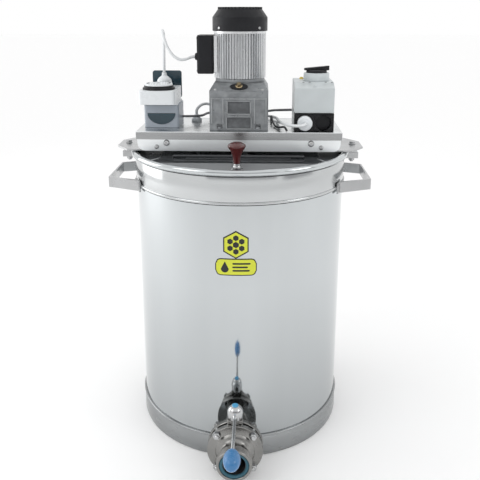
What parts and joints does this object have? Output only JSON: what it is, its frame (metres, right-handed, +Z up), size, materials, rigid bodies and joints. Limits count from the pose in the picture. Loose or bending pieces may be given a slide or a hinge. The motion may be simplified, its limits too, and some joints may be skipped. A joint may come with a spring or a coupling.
{
  "type": "honey mixing tank",
  "caption": "Motorised stainless drum for stirring and drawing off honey, with a geared stirrer on a bridge, half lid, timer and butterfly outlet valve.",
  "frame": {"origin": "drum axis at floor level", "axes": "+Z up the drum axis, -Y out along the outlet valve, +X to the right seen from the outlet side"},
  "size_m": [0.618, 0.7498, 1.015],
  "materials": {
    "polished_steel": "mirror-polished stainless sheet",
    "brushed_steel": "satin stainless",
    "cast_aluminium": "cast, lightly textured",
    "fin_aluminium": "extruded, satin",
    "black_plastic": "fine-grained moulding",
    "smoked_acrylic": "smoked, glossy",
    "grey_plastic": "fine-grained moulding",
    "light_plastic": "fine-grained moulding",
    "white_plastic": "satin moulding",
    "teal_plastic": "glossy moulding",
    "maroon_plastic": "polished phenolic",
    "blue_plastic": "satin moulding",
    "seal_rubber": "moulded rubber",
    "label_print": "printed film",
    "brass": "turned"
  },
  "bodies": {
    "frame": {"tank_wall": "polished_steel", "tank_floor": "brushed_steel", "base_ring": "brushed_steel", "collar_band": "polished_steel", "floor_bearing": "white_plastic", "handle_left": "brushed_steel", "handle_right": "brushed_steel", "label_plate": "label_print", "bridge_cover": "brushed_steel", "bridge_beam": "brushed_steel", "front_bolt_bar": "brushed_steel", "rear_bolt_bar": "brushed_steel", "ear_left": "brushed_steel", "ear_right": "brushed_steel", "rim_clamp_left": "brushed_steel", "rim_clamp_right": "brushed_steel", "rear_panel": "smoked_acrylic", "centre_panel": "smoked_acrylic", "lid_hinge_pin_leaf": "brushed_steel", "gearbox_housing": "cast_aluminium", "oil_plug": "brass", "motor_end_shield": "cast_aluminium", "motor_body": "fin_aluminium", "fan_cover": "black_plastic", "terminal_box": "black_plastic", "terminal_gland": "black_plastic", "socket_box": "grey_plastic", "timer_body": "white_plastic", "timer_plug": "white_plastic", "switch_box": "light_plastic", "socket_block": "black_plastic", "link_plug": "white_plastic", "switch_bezel": "light_plastic", "valve_nozzle": "brushed_steel", "valve_spout": "brushed_steel", "spout_gasket": "seal_rubber", "valve_seal": "seal_rubber", "stem_bearing": "brushed_steel", "motor_cord": "white_plastic", "plug_cord": "white_plastic", "link_cord": "grey_plastic", "sensor_cord": "black_plastic", "plate_gland": "white_plastic"},
    "front_lid": {"front_lid": "smoked_acrylic", "lid_hinge_leaf": "brushed_steel", "lid_knob_base": "polished_steel", "lid_knob": "maroon_plastic"},
    "stirrer": {"output_shaft": "brushed_steel", "stirrer_shaft": "brushed_steel", "stirrer_frame": "brushed_steel"},
    "motor_rotor": {"motor_rotor": "fin_aluminium", "fan": "black_plastic"},
    "layshaft": {"layshaft_gears": "brushed_steel"},
    "timer_dial": {"timer_dial": "white_plastic"},
    "switch_knob": {"switch_knob": "black_plastic"},
    "socket_flap": {"socket_flap": "teal_plastic"},
    "valve": {"valve_disc": "polished_steel", "valve_lever": "polished_steel", "valve_cap": "blue_plastic", "valve_grip": "blue_plastic"}
  },
  "joints": [
    {"name": "lid_hinge", "type": "hinge", "parent": "frame", "child": "front_lid", "pos_m": [0, -0.104, 0.685], "axis": [-1, 0, 0], "range_deg": [0, 60]},
    {"name": "stirrer_spin", "type": "hinge", "parent": "frame", "child": "stirrer", "pos_m": [0, 0, 0.4], "axis": [0, 0, 1], "continuous": true},
    {"name": "layshaft_spin", "type": "hinge", "parent": "frame", "child": "layshaft", "pos_m": [0, 0.039, 0.79], "axis": [0, 0, 1], "continuous": true},
    {"name": "rotor_spin", "type": "hinge", "parent": "frame", "child": "motor_rotor", "pos_m": [0, 0, 0.9], "axis": [0, 0, 1], "continuous": true},
    {"name": "timer_dial_turn", "type": "hinge", "parent": "frame", "child": "timer_dial", "pos_m": [-0.1905, -0.024, 0.835], "axis": [0, 0, 1], "continuous": true},
    {"name": "switch_turn", "type": "hinge", "parent": "frame", "child": "switch_knob", "pos_m": [0.178, -0.03, 0.875], "axis": [0, 0, 1], "range_deg": [0, 90]},
    {"name": "flap_hinge", "type": "hinge", "parent": "frame", "child": "socket_flap", "pos_m": [-0.183, 0.063, 0.792], "axis": [-1, 0, 0], "range_deg": [0, 35], "stiffness_Nm_per_rad": 0.02, "springref_deg": -85.94},
    {"name": "valve_turn", "type": "hinge", "parent": "frame", "child": "valve", "pos_m": [0, -0.303, 0.1], "axis": [0, 0, 1], "range_deg": [0, 90]}
  ],
  "couplings": [
    {"joint": "layshaft_spin", "follows": "stirrer_spin", "ratio": -5.5},
    {"joint": "rotor_spin", "follows": "stirrer_spin", "ratio": 30.25}
  ]
}
